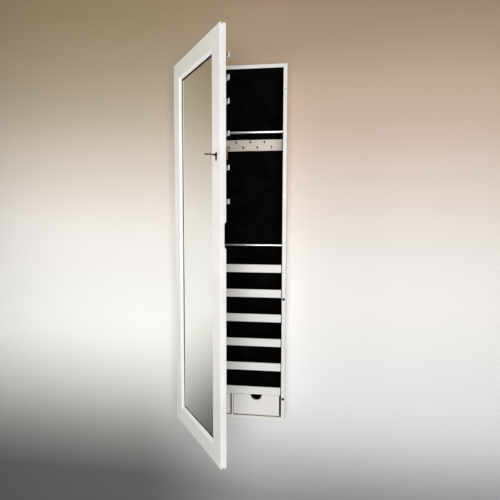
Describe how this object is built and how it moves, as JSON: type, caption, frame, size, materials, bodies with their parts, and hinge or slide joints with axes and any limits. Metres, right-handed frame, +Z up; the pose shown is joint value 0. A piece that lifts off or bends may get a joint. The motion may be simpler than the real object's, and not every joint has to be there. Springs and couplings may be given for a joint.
{
  "type": "jewelry mirror cabinet",
  "caption": "Wall-hung jewelry cabinet with a framed mirror door, hooks, rods, lipped shelves and small drawers.",
  "frame": {"origin": "on the wall plane, midway between the entry holes of the two wall hangers", "axes": "+Z up, +Y into the wall, -Y the front, +X to the right of someone facing the cabinet"},
  "size_m": [0.3762, 0.4106, 1.2],
  "materials": {
    "white_paint": "satin white paint on fibreboard",
    "beige_board": "satin beige-white paint",
    "flocked_board": "fibreboard flocked with black velvet",
    "raw_fibreboard": "bare brown hardboard",
    "black_velvet": "short black pile",
    "dark_bronze": "dark bronze plating",
    "bright_rod": "polished plating",
    "plated_steel": "zinc-plated steel",
    "magnet_grey": "plain grey metal",
    "black_rubber": "matte rubber",
    "mirror": "silvered flat glass",
    "dark_seal": "satin dark strip",
    "white_plastic": "smooth white plastic"
  },
  "bodies": {
    "case": {"side_panel_left": "white_paint", "side_panel_right": "white_paint", "top_panel": "white_paint", "bottom_panel": "white_paint", "back_panel": "raw_fibreboard", "velvet_back": "black_velvet", "velvet_top": "black_velvet", "velvet_sides": "black_velvet", "upper_rod": "bright_rod", "lower_rod": "bright_rod", "rod_sockets": "bright_rod", "hook_board": "beige_board", "necklace_hooks": "dark_bronze", "shelf_board_1": "flocked_board", "shelf_board_2": "flocked_board", "shelf_board_3": "flocked_board", "shelf_board_4": "flocked_board", "shelf_board_5": "flocked_board", "shelf_board_6": "flocked_board", "shelf_lip_1": "white_paint", "shelf_lip_2": "white_paint", "shelf_lip_3": "white_paint", "shelf_lip_4": "white_paint", "shelf_lip_5": "white_paint", "shelf_lip_6": "white_paint", "drawer_divider": "white_paint", "door_magnets": "magnet_grey", "door_bumpers": "black_rubber", "lock_keeper_plate": "dark_bronze", "hinge_frame_leaves": "plated_steel", "hinge_pins": "plated_steel", "hinge_frame_screws": "plated_steel", "wall_hangers": "plated_steel", "hanger_screws": "plated_steel"},
    "door": {"door_hinge_stile": "white_paint", "door_lock_stile": "white_paint", "door_top_rail": "white_paint", "door_bottom_rail": "white_paint", "door_back_board": "white_paint", "mirror": "mirror", "mirror_seal": "dark_seal", "door_velvet_lining": "black_velvet", "earring_rails": "white_plastic", "lock_housing": "dark_bronze", "lock_key_plate": "dark_bronze", "magnet_strike_plates": "plated_steel", "hinge_door_leaves": "plated_steel", "hinge_door_screws": "plated_steel"},
    "lock_plug_and_cam": {"lock_plug": "dark_bronze", "lock_cam": "dark_bronze"},
    "key": {"key": "dark_bronze"},
    "left_drawer": {"drawer_left_front": "white_paint", "drawer_left_sides": "flocked_board", "drawer_left_back": "flocked_board", "drawer_left_bottom": "flocked_board"},
    "right_drawer": {"drawer_right_front": "white_paint", "drawer_right_sides": "flocked_board", "drawer_right_back": "flocked_board", "drawer_right_bottom": "flocked_board"}
  },
  "joints": [
    {"name": "door_hinge", "type": "hinge", "parent": "case", "child": "door", "pos_m": [-0.1833, -0.1012, -0.55], "axis": [0, 0, -1], "range_deg": [-53.5, 126.5]},
    {"name": "lock_turn", "type": "hinge", "parent": "door", "child": "lock_plug_and_cam", "pos_m": [0.00368, -0.38617, -0.285], "axis": [0.8039, 0.5948, 0], "range_deg": [0, 90]},
    {"name": "key_withdrawal", "type": "slide", "parent": "lock_plug_and_cam", "child": "key", "axis": [-0.8039, -0.5948, 0], "range_m": [0, 0.03]},
    {"name": "left_drawer_slide", "type": "slide", "parent": "case", "child": "left_drawer", "axis": [0, -1, 0], "range_m": [0, 0.025]},
    {"name": "right_drawer_slide", "type": "slide", "parent": "case", "child": "right_drawer", "axis": [0, -1, 0], "range_m": [0, 0.06]}
  ]
}
